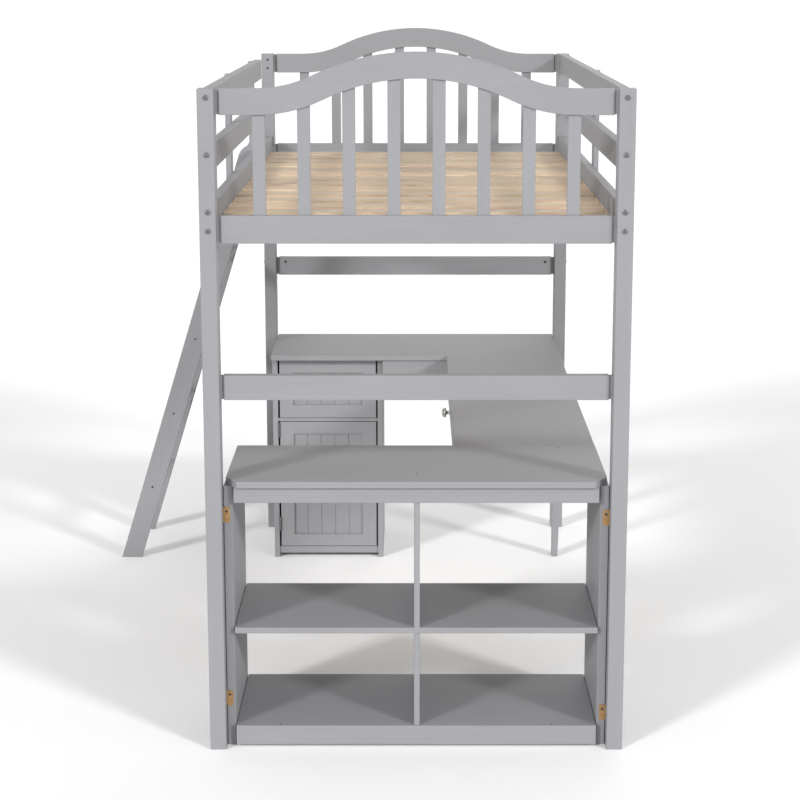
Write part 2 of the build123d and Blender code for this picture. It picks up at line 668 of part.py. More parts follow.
def desk():
    """Side desk along the right, rear desk across the end, with aprons, cross rails and a leg."""
    top_z = (UNDER_TOP, TOP_Z)
    nodes["side_desk_top"] = board(
        (SIDE_DESK_INNER, UNIT_HALF), (BOOKCASE_BACK, SIDE_DESK_END), top_z, Axis.Y)
    nodes["rear_desk_top"] = board(
        (-UNIT_HALF, UNIT_HALF), (SIDE_DESK_END, REAR_DESK_BACK), top_z, Axis.X)

    deep = (UNDER_TOP - DESK_APRON_DEEP, UNDER_TOP)
    rear_deep = (UNDER_TOP - REAR_APRON_DEEP, UNDER_TOP)
    face = SIDE_DESK_INNER + APRON_SETBACK
    inner_x = (face, face + BOARD)
    outer_x = (UNIT_HALF - BOARD, UNIT_HALF)
    rear_apron_y = (SIDE_DESK_END + REAR_APRON_SETBACK, SIDE_DESK_END + REAR_APRON_SETBACK + BOARD)
    nodes["side_desk_inner_aprons"] = [
        board(inner_x, (BOOKCASE_BACK, BAY[0]), deep, Axis.Y),
        board(inner_x, (BAY[1], rear_apron_y[0]), deep, Axis.Y),
    ]
    back_rail_y = (REAR_DESK_BACK - BOARD, REAR_DESK_BACK)
    nodes["side_desk_outer_apron"] = board(outer_x, (BOOKCASE_BACK, back_rail_y[0]), deep, Axis.Y)
    nodes["rear_desk_apron"] = board((CABINET[1], inner_x[1]), rear_apron_y, rear_deep, Axis.X)
    nodes["rear_desk_back_rail"] = board((-UNIT_HALF, UNIT_HALF), back_rail_y, rear_deep, Axis.X)

    cross_x = (inner_x[1], outer_x[0])
    starts = (BOOKCASE_BACK, BAY[0] - BOARD, BAY[1])
    rails = [board(cross_x, (y, y + BOARD), deep, Axis.X) for y in starts]
    cleat_y = (BOOKCASE_BACK - CLEAT_WIDE, BOOKCASE_BACK)
    rails.append(board(cross_x, cleat_y, (UNDER_TOP - BOARD, UNDER_TOP), Axis.X))
    nodes["desk_cross_rails"] = rails
    drive_screw(CLEAT_SCREW + (TOP_Z,), DOWN, MEDIUM_SCREW)
    drive_screw((REAR_APRON_SCREW_X, sum(rear_apron_y) / 2, TOP_Z), DOWN, PANEL_SCREW)

    outline = Polyline(
        (LEG_X[0], 0),
        (LEG_X[1] - LEG_TAPER, 0),
        (LEG_X[1], LEG_TAPER_TALL),
        (LEG_X[1], deep[0]),
        (LEG_X[0], deep[0]),
        close=True,
    )
    front = Plane(origin=(0, LEG_Y[1], 0), x_dir=(1, 0, 0), z_dir=(0, -1, 0))
    nodes["desk_leg"] = extrude(front * make_face(outline), LEG_Y[1] - LEG_Y[0])


# ---- Drawers -----------------------------------------------------------------------------------

def knob(base, direction, through):
    """A mushroom knob on a face, and the screw that holds it from behind."""
    foot = (KNOB_BASE_R, KNOB_BASE_R / 4)
    under = (KNOB_WAIST_R + 2, (KNOB_WAIST + KNOB_EDGE) / 2)
    shoulder = (KNOB_R * 0.75, (KNOB_EDGE + KNOB_LONG) / 2)
    profile = make_face([
        Line((0, 0), (KNOB_BASE_R, 0)),
        Line((KNOB_BASE_R, 0), foot),
        Spline(foot, (KNOB_WAIST_R, KNOB_WAIST), under, tangents=((-1, 1), (0.6, 1))),
        Spline(under, (KNOB_R, KNOB_EDGE), shoulder, (0, KNOB_LONG), tangents=((1, 0.3), (-1, 0))),
        Line((0, KNOB_LONG), (0, 0)),
    ])
    body = revolve(Plane.XZ * profile, Axis.Z)
    place = Plane(origin=base, z_dir=direction)
    back = reach(base, direction, -through)
    screw = rod(back, direction, KNOB_SCREW_R, through + KNOB_SCREW_IN)
    head_top = reach(back, direction, -KNOB_SCREW_HEAD_TALL)
    screw = screw + rod(head_top, direction, KNOB_SCREW_HEAD_R, KNOB_SCREW_HEAD_TALL)
    hole = rod(back, direction, KNOB_SCREW_R, through + KNOB_SCREW_IN)
    return [place * body - hole, screw], hole


def grooved_box(x, y, z, open_towards):
    """Two sides, a back and a bottom for a drawer; the fourth side is the drawer front."""
    bottom_z = (z[0] + BOX_BOTTOM_UP, z[0] + BOX_BOTTOM_UP + BOX_BOTTOM)
    if open_towards == "-y":
        bottom = block((x[0] + BOX_SIDE - GROOVE, x[1] - BOX_SIDE + GROOVE),
                       (y[0] - GROOVE, y[1] - BOX_SIDE + GROOVE), bottom_z)
        sides = [board((x[0], x[0] + BOX_SIDE), y, z, Axis.Y),
                 board((x[1] - BOX_SIDE, x[1]), y, z, Axis.Y)]
        back = board((x[0] + BOX_SIDE, x[1] - BOX_SIDE), (y[1] - BOX_SIDE, y[1]), z, Axis.X)
    else:
        bottom = block((x[0] - GROOVE, x[1] - BOX_SIDE + GROOVE),
                       (y[0] + BOX_SIDE - GROOVE, y[1] - BOX_SIDE + GROOVE), bottom_z)
        sides = [board(x, (y[0], y[0] + BOX_SIDE), z, Axis.X),
                 board(x, (y[1] - BOX_SIDE, y[1]), z, Axis.X)]
        back = board((x[1] - BOX_SIDE, x[1]), (y[0] + BOX_SIDE, y[1] - BOX_SIDE), z, Axis.Y)
    return [side - bottom for side in sides], back - bottom, bottom


def desk_drawer():
    """A shallow drawer under the side desk, on wooden runners."""
    face = SIDE_DESK_INNER + APRON_SETBACK
    x = (face + BOARD, face + BOARD + DESK_BOX_DEEP)
    y = (BAY[0] + DRAWER_CLEAR, BAY[1] - DRAWER_CLEAR)
    front_z = (UNDER_TOP - DESK_APRON_DEEP + FRONT_GAP, UNDER_TOP - FRONT_GAP)
    front = board((face, face + BOARD), (BAY[0] + FRONT_GAP, BAY[1] - FRONT_GAP), front_z, Axis.Y)
    sides, back, bottom = grooved_box(x, y, DESK_BOX, "-x")
    knob_y, knob_z = DESK_KNOB
    knob_pieces, knob_hole = knob((face, knob_y, knob_z), (-1, 0, 0), BOARD)
    nodes["desk_drawer_front"] = front - bottom - knob_hole
    nodes["desk_drawer_knob"] = knob_pieces

    runner_x = (x[0] + RUNNER_INSET, x[1] - RUNNER_INSET)
    runner_z = (DESK_RUNNER_Z, DESK_RUNNER_Z + RUNNER_TALL)
    groove_z = (runner_z[0] - RUNNER_UNDER, runner_z[1] + RUNNER_OVER)
    groove_deep = BOX_SIDE / 2
    grooves = [block((runner_x[0] - 1, x[1] + 1), span, groove_z)
               for span in ((y[0] - 1, y[0] + groove_deep), (y[1] - groove_deep, y[1] + 1))]
    nodes["desk_drawer_box"] = [side - grooves for side in sides] + [back, bottom]
    return [board(runner_x, span, runner_z, Axis.X, RUNNER_EASE)
            for span in ((BAY[0], BAY[0] + RUNNER_THICK), (BAY[1] - RUNNER_THICK, BAY[1]))]


def framed_panel(x, z, panel_x, panel_z):
    """A frame round a recessed panel of vertical boards; returns the frame and the panel."""
    y = (FRONT_FACE, FRONT_FACE + BOARD)
    frame = board(x, y, z, Axis.Z)
    window = block(panel_x, (y[0] - 1, y[1] + 1), panel_z)
    wide = (panel_x[0] - PANEL_TONGUE, panel_x[1] + PANEL_TONGUE)
    tall = (panel_z[0] - PANEL_TONGUE, panel_z[1] + PANEL_TONGUE)
    face = y[0] + PANEL_RECESS
    panel = block(wide, (face, face + PANEL_THICK), tall)
    frame = frame - window - panel
    pitch = (panel_x[1] - panel_x[0]) / BEAD_COUNT
    for place in range(1, BEAD_COUNT):
        middle = panel_x[0] + place * pitch
        groove = Polyline((middle - BEAD_GROOVE, face - 0.1), (middle + BEAD_GROOVE, face - 0.1),
                          (middle, face + BEAD_GROOVE), close=True)
        cut = extrude(make_face(groove), tall[1] - tall[0])
        panel = panel - Pos(0, 0, tall[0]) * cut
    return frame, panel


def cabinet_drawer():
    """The deep drawer at the top of the cabinet."""
    frame, panel = framed_panel(LEAF_X, DRAWER_Z, PANEL_X, DRAWER_PANEL_Z)
    opening = (CABINET[0] + BOARD, CABINET[1] - BOARD)
    x = (opening[0] + DRAWER_CLEAR, opening[1] - DRAWER_CLEAR)
    y = (FRONT_FACE + BOARD, CABINET_BOX_BACK)
    sides, back, bottom = grooved_box(x, y, CABINET_BOX, "-y")
    base = (sum(PANEL_X) / 2, FRONT_FACE + PANEL_RECESS, DRAWER_KNOB_Z)
    knob_pieces, knob_hole = knob(base, (0, -1, 0), PANEL_THICK)
    nodes["cabinet_drawer_front"] = frame - bottom
    nodes["cabinet_drawer_panel"] = panel - knob_hole
    nodes["cabinet_drawer_knob"] = knob_pieces

    runner_y = (y[0] + RUNNER_INSET, y[1] - RUNNER_INSET)
    runner_z = (CABINET_RUNNER_Z, CABINET_RUNNER_Z + RUNNER_TALL)
    groove_z = (runner_z[0] - RUNNER_UNDER, runner_z[1] + RUNNER_OVER)
    groove_deep = BOX_SIDE / 2
    grooves = [block(span, (runner_y[0] - 1, y[1] + 1), groove_z)
               for span in ((x[0] - 1, x[0] + groove_deep), (x[1] - groove_deep, x[1] + 1))]
    nodes["cabinet_drawer_box"] = [side - grooves for side in sides] + [back, bottom]
    spans = ((opening[0], opening[0] + RUNNER_THICK), (opening[1] - RUNNER_THICK, opening[1]))
    return [board(span, runner_y, runner_z, Axis.Y, RUNNER_EASE) for span in spans]


# ---- Cabinet -----------------------------------------------------------------------------------

def cabinet():
    """The carcass: two sides down to the floor, bottom, divider and back."""
    left, right = CABINET
    depth = (CABINET_FRONT, CABINET_BACK)
    inside = (left + BOARD, right - BOARD)
    inner_depth = (FRONT_FACE, CABINET_BACK - BACK_THICK)
    nodes["cabinet_left_side"] = board((left, left + BOARD), depth, (0, UNDER_TOP), Axis.Z)
    nodes["cabinet_right_side"] = board((right - BOARD, right), depth, (0, UNDER_TOP), Axis.Z)
    bottom_depth = (FRONT_FACE + CABINET_BOTTOM_SETBACK, inner_depth[1])
    nodes["cabinet_bottom"] = board(inside, bottom_depth, CABINET_BOTTOM, Axis.X)
    nodes["cabinet_divider"] = board(inside, inner_depth, CABINET_DIVIDER, Axis.X)
    nodes["cabinet_back"] = block(inside, (inner_depth[1], CABINET_BACK), (CABINET_BOTTOM[0], UNDER_TOP))
    for face_x, inward in ((left, 1), (right, -1)):
        for z in (sum(CABINET_BOTTOM) / 2, sum(CABINET_DIVIDER) / 2):
            for y in (CABINET_FRONT + CABINET_SCREW_IN, CABINET_BACK - CABINET_SCREW_IN):
                drive_screw((face_x, y, z), (inward, 0, 0), PANEL_SCREW)


def cabinet_door():
    """The framed door, its knob and its two butt hinges."""
    frame, panel = framed_panel(LEAF_X, DOOR_Z, PANEL_X, DOOR_PANEL_Z)
    knob_x, knob_z = DOOR_KNOB
    knob_pieces, knob_hole = knob((knob_x, FRONT_FACE, knob_z), (0, -1, 0), BOARD)
    nodes["cabinet_door_panel"] = panel
    nodes["cabinet_door_knob"] = knob_pieces
    nodes["cabinet_door_frame"] = frame - knob_hole
    fixed = []
    moving = []
    pins = []
    third = HINGE_TALL / 3
    for middle in HINGE_Z:
        low = middle - HINGE_TALL / 2
        tall = (low, low + HINGE_TALL)
        bore = rod((HINGE_X, HINGE_Y, low - 1), UP, PIN_R + PIN_CLEAR, HINGE_TALL + 2)
        wall = CABINET[0] + BOARD
        fixed_leaf = block((wall, wall + LEAF_THICK), (HINGE_Y, HINGE_Y + LEAF_DEEP), tall)
        fixed_leaf = fixed_leaf - block((wall - 1, wall + 3), (HINGE_Y - 1, HINGE_Y + KNUCKLE_R + 1),
                                        (low + third - KNUCKLE_GAP, low + 2 * third + KNUCKLE_GAP))
        for start in (low, low + 2 * third + KNUCKLE_GAP):
            fixed_leaf = fixed_leaf + rod((HINGE_X, HINGE_Y, start), UP, KNUCKLE_R,
                                          third - KNUCKLE_GAP)
        fixed.append(fixed_leaf - bore)
        edge = LEAF_X[0]
        door_leaf = block((edge - LEAF_THICK, edge), (HINGE_Y, FRONT_FACE + BOARD - 1), tall)
        door_leaf = door_leaf - [
            block((edge - 3, edge + 1), (HINGE_Y - 1, HINGE_Y + KNUCKLE_R + 1), span)
            for span in ((low - 1, low + third), (low + 2 * third, low + HINGE_TALL + 1))]
        knuckle = rod((HINGE_X, HINGE_Y, low + third), UP, KNUCKLE_R, third)
        moving.append(door_leaf + knuckle - bore)
        pin = rod((HINGE_X, HINGE_Y, low), UP, PIN_R, HINGE_TALL)
        head = rod((HINGE_X, HINGE_Y, low + HINGE_TALL), UP, PIN_HEAD_R, PIN_HEAD_TALL)
        pins.append(pin + head)
    nodes["hinge_cabinet_leaves"] = fixed
    nodes["hinge_door_leaves"] = moving
    nodes["hinge_pins"] = pins


# ---- Assembly ----------------------------------------------------------------------------------

nodes["end_spindles"] = end_panel("front", 0.0) + end_panel("rear", REAR)
posts()
long_sides()
slat_deck()
ladder()
bookcase()
corner_brackets()
desk()
nodes["drawer_runners"] = desk_drawer() + cabinet_drawer()
cabinet()
cabinet_door()
nodes["frame_bolts"] = bolts
nodes["barrel_nuts"] = nuts


def near(piece, hole):
    """True where the boxes of a piece and a hole overlap."""
    a = piece.bounding_box()
    b = hole.bounding_box()
    return all(a_min < b_max and b_min < a_max for a_min, a_max, b_min, b_max in zip(
        tuple(a.min), tuple(a.max), tuple(b.min), tuple(b.max)))


def drilled(piece):
    """The piece with every screw hole that reaches it."""
    holes = [hole for hole in screw_holes if near(piece, hole)]
    return piece - holes if holes else piece


os.makedirs("parts", exist_ok=True)
UNDRILLED = ("frame_bolts", "barrel_nuts")
for name, shape in nodes.items():
    pieces = shape if isinstance(shape, list) else [shape]
    if name not in UNDRILLED:
        pieces = [drilled(piece) for piece in pieces]
    export_step(Pos(*[-value for value in ORIGIN]) * group(pieces), "parts/" + name + ".step")
export_step(Pos(*[-value for value in ORIGIN]) * group(screws), "parts/wood_screws.step")
print(len(nodes) + 1, "nodes")
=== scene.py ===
"""Studio scene of the loft bed with desk: finishes, floor, light and camera."""

import math

import bpy
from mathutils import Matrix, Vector


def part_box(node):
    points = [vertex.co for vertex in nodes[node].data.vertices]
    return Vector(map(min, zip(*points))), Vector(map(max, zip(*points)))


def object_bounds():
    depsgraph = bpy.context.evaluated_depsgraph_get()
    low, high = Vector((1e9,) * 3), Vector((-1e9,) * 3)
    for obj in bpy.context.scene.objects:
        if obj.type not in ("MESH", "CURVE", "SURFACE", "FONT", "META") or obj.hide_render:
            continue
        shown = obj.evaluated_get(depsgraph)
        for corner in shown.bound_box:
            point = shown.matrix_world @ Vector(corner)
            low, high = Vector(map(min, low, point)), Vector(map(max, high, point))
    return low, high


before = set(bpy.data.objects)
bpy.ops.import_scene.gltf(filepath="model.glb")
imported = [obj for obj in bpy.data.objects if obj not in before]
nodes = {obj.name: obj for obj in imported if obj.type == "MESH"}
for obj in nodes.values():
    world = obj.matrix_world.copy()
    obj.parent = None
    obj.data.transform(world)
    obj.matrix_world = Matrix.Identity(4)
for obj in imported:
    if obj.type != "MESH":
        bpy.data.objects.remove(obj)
cad_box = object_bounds()

# ---------------------------------------------------------------- which way the wood runs

ALONG_X = (
    "front_arch_rail",
    "front_lower_rail",
    "front_cross_rail",
    "rear_arch_rail",
    "rear_lower_rail",
    "rear_cross_rail",
    "bookcase_shelf",
    "bookcase_bottom",
    "bookcase_kick_board",
    "bookcase_apron",
    "bookcase_top",
    "rear_desk_top",
    "rear_desk_apron",
    "rear_desk_back_rail",
    "cabinet_bottom",
    "cabinet_divider",
    "cabinet_drawer_front",
)
ALONG_Y = (
    "left_side_rail",
    "right_side_rail",
    "left_guard_rails",
    "right_guard_rails",
    "slat_ledges",
    "ladder_treads",
    "side_desk_top",
    "side_desk_inner_aprons",
    "side_desk_outer_apron",
    "desk_drawer_front",
)
ALONG_Z = (
    "front_left_post",
    "front_right_post",
    "rear_left_post",
    "rear_right_post",
    "end_spindles",
    "guard_stiles",
    "bookcase_left_side",
    "bookcase_right_side",
    "bookcase_divider",
    "desk_leg",
    "cabinet_left_side",
    "cabinet_right_side",
    "cabinet_back",
    "cabinet_drawer_panel",
    "cabinet_door_frame",
    "cabinet_door_panel",
)
LEANING = ("ladder_front_stile", "ladder_rear_stile")
LADDER_SLOPE = 0.307              # run over rise of the ladder's stiles

SLAT_PITCH = 0.1315
SLAT_WIDE = 0.086
HALF_GAP = (SLAT_PITCH - SLAT_WIDE) / 2
RING_GAP = 0.0052                 # from one growth ring to the next
EDGE_HIGHLIGHT_WIDTH = 0.0016                # width of the painted highlight along an edge

# ---------------------------------------------------------------- colours, as linear light

PAINT = (0.266, 0.268, 0.281)
# painted highlight: the lighter grey laid along the eased edges
PAINT_EDGE_HIGHLIGHT = (0.308, 0.310, 0.324)
PINE_EARLY = (0.640, 0.510, 0.360)
PINE_LATE = (0.380, 0.245, 0.145)
PINE_BLUSH = (0.615, 0.460, 0.330)
PINE_KNOT = (0.200, 0.085, 0.035)
BIRCH_LIGHT = (0.700, 0.540, 0.360)
BIRCH_DARK = (0.560, 0.400, 0.240)
ZINC = (0.240, 0.244, 0.252)
ZINC_DULL = (0.150, 0.152, 0.158)
SCREW_ZINC = (0.120, 0.121, 0.125)
SCREW_DULL = (0.060, 0.060, 0.062)
NICKEL = (0.600, 0.580, 0.550)
NICKEL_DULL = (0.430, 0.415, 0.395)
BRASS = (0.520, 0.320, 0.150)
BRASS_DULL = (0.360, 0.205, 0.095)
FLOOR_LOW = (0.945, 0.945, 0.950)
FLOOR_HIGH = (0.970, 0.970, 0.970)

# ---------------------------------------------------------------- studio and camera

FLOOR_HALF = 400.0
FLOOR_DROP = 0.0005               # the floor lies this far below the feet
OVERHEAD = 0.50                   # the sky's strength overhead; it is 1 round the horizon
FADE_START = 0.25                 # height in the sky at which it starts to dim
FADE_END = 0.75
LENS = 82.31
SENSOR = 36.0
SHIFT_X = -0.0157
SHIFT_Y = -0.10
CAMERA_ASIDE = -0.0098            # from the middle of the bed
CAMERA_BACK = 4.5067              # in front of the front posts
CAMERA_HIGH = 2.0029
CAMERA_PITCH = 0.1876             # downwards, radians

# The sockets of the Mix node that carry colours
MIX_FACTOR = 0
MIX_FIRST = 6
MIX_SECOND = 7
MIX_RESULT = 2


class Graph:
    """The shader nodes of one material."""

    def __init__(self, name):
        self.material = bpy.data.materials.new(name)
        self.material.use_nodes = True
        self.tree = self.material.node_tree
        self.shader = self.tree.nodes["Principled BSDF"]

    def feed(self, socket, value):
        if isinstance(value, bpy.types.NodeSocket):
            self.tree.links.new(value, socket)
        elif socket.type == "RGBA":
            socket.default_value = (*value, 1.0)
        else:
            socket.default_value = value

    def add(self, kind, inputs=(), **settings):
        node = self.tree.nodes.new("ShaderNode" + kind)
        for name, value in settings.items():
            setattr(node, name, value)
        for name, value in dict(inputs).items():
            self.feed(node.inputs[name], value)
        return node

    def math(self, operation, first, second=0.0, third=0.0):
        node = self.add("Math", operation=operation)
        for socket, value in zip(node.inputs, (first, second, third)):
            self.feed(socket, value)
        return node.outputs["Value"]

    def vary(self, value, amount, base):
        """The base, moved up and down by half the amount as the value goes from 0 to 1."""
        return self.math("MULTIPLY_ADD", self.math("SUBTRACT", value, 0.5), amount, base)

    def vector(self, operation, first, second=(0.0, 0.0, 0.0)):
        node = self.add("VectorMath", operation=operation)
        self.feed(node.inputs[0], first)
        self.feed(node.inputs[1], second)
        return node.outputs["Value" if operation in ("LENGTH", "DOT_PRODUCT") else "Vector"]

    def scaled(self, vector, sizes):
        """Coordinates in which one unit is the given size in metres along each axis."""
        return self.vector("DIVIDE", vector, sizes)

    def dimmed(self, colour, factor):
        """The colour times the factor."""
        shade = self.vector("SCALE", colour)
        self.feed(shade.node.inputs["Scale"], factor)
        return shade

    def noise(self, vector, detail=2.0, roughness=0.5, distortion=0.0, shift=None):
        inputs = {
            "Vector": vector,
            "Scale": 1.0,
            "Detail": detail,
            "Roughness": roughness,
            "Distortion": distortion,
        }
        if shift is None:
            return self.add("TexNoise", inputs).outputs["Fac"]
        inputs["W"] = shift
        return self.add("TexNoise", inputs, noise_dimensions="4D").outputs["Fac"]

    def grain(self, run, along, across, **settings):
        """Noise drawn out along the wood: its size along the grain and across it, in metres."""
        return self.noise(self.scaled(run, (along, across, across)), **settings)

    def remap(self, value, low, high, new_low=0.0, new_high=1.0, smooth=False):
        inputs = {
            "Value": value,
            "From Min": low,
            "From Max": high,
            "To Min": new_low,
            "To Max": new_high,
        }
        node = self.add("MapRange", inputs)
        if smooth:
            node.interpolation_type = "SMOOTHSTEP"
        return node.outputs["Result"]

    def mix(self, factor, first, second):
        node = self.add("Mix", data_type="RGBA")
        self.feed(node.inputs[MIX_FACTOR], factor)
        self.feed(node.inputs[MIX_FIRST], first)
        self.feed(node.inputs[MIX_SECOND], second)
        return node.outputs[MIX_RESULT]

    def ramp(self, factor, stops):
        node = self.add("ValToRGB", {"Fac": factor})
        elements = node.color_ramp.elements
        while len(elements) < len(stops):
            elements.new(0.5)
        for element, (place, colour) in zip(elements, stops):
            element.position = place
            element.color = (*colour, 1.0)
        return node.outputs["Color"]

    def bump(self, height, depth, under=None):
        inputs = {"Height": height, "Distance": depth, "Strength": 1.0}
        if under is not None:
            inputs["Normal"] = under
        return self.add("Bump", inputs).outputs["Normal"]

    def place(self):
        return self.add("TexCoord").outputs["Object"]

    def finish(self, colour, roughness, normal, **constants):
        self.feed(self.shader.inputs["Base Color"], colour)
        self.feed(self.shader.inputs["Roughness"], roughness)
        self.feed(self.shader.inputs["Normal"], normal)
        for name, value in constants.items():
            self.feed(self.shader.inputs[name.replace("_", " ")], value)
        return self.material


def grain_frame(graph, axis, lean=0.0):
    """Object coordinates with the wood's length brought to X."""
    place = graph.place()
    if lean:
        turned = graph.add("Mapping", {"Vector": place, "Rotation": (0.0, -lean, 0.0)})
        place = turned.outputs["Vector"]
    parts = graph.add("SeparateXYZ", {"Vector": place}).outputs
    order = {"x": (0, 1, 2), "y": (1, 0, 2), "z": (2, 0, 1)}[axis]
    joined = graph.add("CombineXYZ")
    for socket, index in zip(joined.inputs, order):
        graph.feed(socket, parts[index])
    return joined.outputs["Vector"]


def edge_mask(graph, radius):
    """1 on the eased edges, 0 on the faces."""
    soft = graph.add("Bevel", {"Radius": radius}, samples=4).outputs["Normal"]
    face = graph.add("NewGeometry").outputs["Normal"]
    agreement = graph.vector("DOT_PRODUCT", soft, face)
    return graph.remap(agreement, 0.995, 0.90, smooth=True)


# ---------------------------------------------------------------- finishes


def painted_wood(name, axis, lean=0.0):
    """Grey satin paint on pine: the grain shows as faint ridges, and the eased edges carry a
    painted highlight in a lighter grey.
    """
    graph = Graph(name)
    run = grain_frame(graph, axis, lean)
    own = graph.math("MULTIPLY", graph.add("ObjectInfo").outputs["Random"], 40.0)
    rings = graph.grain(run, 0.350, 0.011, detail=3.0, roughness=0.55, distortion=0.6, shift=own)
    pores = graph.grain(run, 0.060, 0.0016, roughness=0.6, shift=own)
    brush = graph.grain(run, 0.180, 0.0035, distortion=0.2, shift=own)
    mottle = graph.grain(run, 0.300, 0.110, detail=3.0, roughness=0.55, shift=own)
    peel = graph.grain(run, 0.0014, 0.0014, detail=1.0)

    tint = graph.vary(rings, 0.10, 1.0)
    tint = graph.vary(mottle, 0.12, tint)
    tint = graph.vary(brush, 0.04, tint)
    # painted highlight: the eased edges are mixed towards a lighter grey, more strongly where
    # the mottle is light
    edges = edge_mask(graph, EDGE_HIGHLIGHT_WIDTH)
    edges = graph.math("MULTIPLY", edges, graph.remap(mottle, 0.35, 0.65, 0.25, 0.9))
    colour = graph.mix(edges, graph.dimmed(PAINT, tint), PAINT_EDGE_HIGHLIGHT)

    gloss = graph.vary(brush, 0.16, 0.60)
    gloss = graph.vary(mottle, 0.10, gloss)
    normal = graph.bump(rings, 0.00022)
    normal = graph.bump(pores, 0.00004, normal)
    normal = graph.bump(peel, 0.000012, normal)
    return graph.finish(colour, gloss, normal, IOR=1.46, Specular_IOR_Level=0.30)


def bare_pine(name, axis, pitch, first):
    """Planed softwood: growth rings round a pith that differs from slat to slat, and knots."""
    graph = Graph(name)
    run = grain_frame(graph, axis)
    across = graph.add("SeparateXYZ", {"Vector": run}).outputs
    from_first = graph.math("SUBTRACT", across[1], first)
    index = graph.math("FLOOR", graph.math("DIVIDE", from_first, pitch))
    dice = graph.add("TexWhiteNoise", {"W": index}, noise_dimensions="1D")
    throw = graph.add("SeparateColor", {"Color": dice.outputs["Color"]}).outputs

    # How far a point lies from the pith of its own slat
    middle = graph.math("MULTIPLY_ADD", graph.math("ADD", index, 0.35), pitch, first)
    side = graph.math("SUBTRACT", across[1], middle)
    side = graph.vary(throw[0], 0.12, side)
    sway = graph.grain(run, 0.420, 0.090, shift=index)
    side = graph.vary(sway, 0.060, side)
    depth = graph.math("MULTIPLY_ADD", throw[1], 0.050, 0.012)
    depth = graph.vary(sway, 0.030, depth)
    squares = [graph.math("MULTIPLY", length, length) for length in (side, depth)]
    radius = graph.math("SQRT", graph.math("ADD", *squares))

    # Knots, and the rings that bend round them
    cells = graph.scaled(run, (0.310, 0.075, 0.075))
    cell_inputs = {"Vector": cells, "W": index, "Scale": 1.0, "Randomness": 0.9}
    spots = graph.add("TexVoronoi", cell_inputs, voronoi_dimensions="4D")
    lucky = graph.add("SeparateColor", {"Color": spots.outputs["Color"]}).outputs[0]
    wanted = graph.remap(lucky, 0.72, 0.76)
    core = graph.remap(spots.outputs["Distance"], 0.15, 0.075, smooth=True)
    knot = graph.math("MULTIPLY", core, wanted)
    halo = graph.remap(spots.outputs["Distance"], 0.40, 0.08, smooth=True)
    pull = graph.math("MULTIPLY", halo, wanted)
    radius = graph.math("MULTIPLY_ADD", pull, 0.010, radius)

    cycle = graph.math("FRACT", graph.math("DIVIDE", radius, RING_GAP))
    streak = graph.grain(run, 0.520, 0.0058, detail=3.0, roughness=0.62, shift=index)
    wash = graph.grain(run, 0.500, 0.045, shift=index)
    ring = ((0.0, 0.05), (0.45, 0.20), (0.86, 0.85), (1.0, 0.10))
    late = graph.ramp(cycle, [(place, (grey,) * 3) for place, grey in ring])
    late = graph.math("MULTIPLY", late, graph.remap(streak, 0.25, 0.75, 0.45, 1.1))
    early = graph.mix(graph.remap(wash, 0.42, 0.62), PINE_EARLY, PINE_BLUSH)
    colour = graph.mix(graph.math("MULTIPLY", late, 0.75), early, PINE_LATE)
    colour = graph.mix(graph.remap(streak, 0.40, 0.30, 0.0, 0.45), colour, PINE_LATE)
    tone = graph.vary(throw[2], 0.34, 1.0)
    tone = graph.vary(wash, -0.20, tone)
    tone = graph.vary(streak, 0.75, tone)
    shade = graph.dimmed(colour, tone)
    colour = graph.mix(graph.math("MULTIPLY", knot, 0.85), shade, PINE_KNOT)

    pores = graph.grain(run, 0.030, 0.0009, roughness=0.6)
    normal = graph.bump(late, 0.00010)
    normal = graph.bump(pores, 0.00005, normal)
    gloss = graph.remap(late, 0.0, 1.0, 0.62, 0.50)
    return graph.finish(colour, gloss, normal, IOR=1.45)


def drawer_wood(name):
    """Pale birch ply and batten, unpainted inside."""
    graph = Graph(name)
    run = grain_frame(graph, "y")
    bands = graph.grain(run, 0.300, 0.014, detail=4.0, roughness=0.6, distortion=0.8)
    fibre = graph.grain(run, 0.040, 0.0012, detail=3.0, roughness=0.6)
    shade = graph.vary(fibre, 0.5, bands)
    colour = graph.ramp(shade, ((0.30, BIRCH_DARK), (0.50, BIRCH_LIGHT), (0.75, BIRCH_LIGHT)))
    normal = graph.bump(fibre, 0.00006)
    gloss = graph.remap(bands, 0.3, 0.7, 0.62, 0.52)
    return graph.finish(colour, gloss, normal, IOR=1.45)


def plated_metal(name, bright, dull, roughness, spangle=0.004):
    """Plated steel with faint spangle, handling marks and fine scratches."""
    graph = Graph(name)
    place = graph.place()
    cloud = graph.noise(graph.scaled(place, (spangle,) * 3), 3.0, 0.6)
    scratch = graph.noise(graph.scaled(place, (0.0004, 0.003, 0.0004)), 2.0, 0.6)
    colour = graph.mix(graph.remap(cloud, 0.35, 0.70), bright, dull)
    gloss = graph.vary(cloud, 0.30, roughness)
    normal = graph.bump(scratch, 0.000008)
    return graph.finish(colour, gloss, normal, Metallic=1.0)


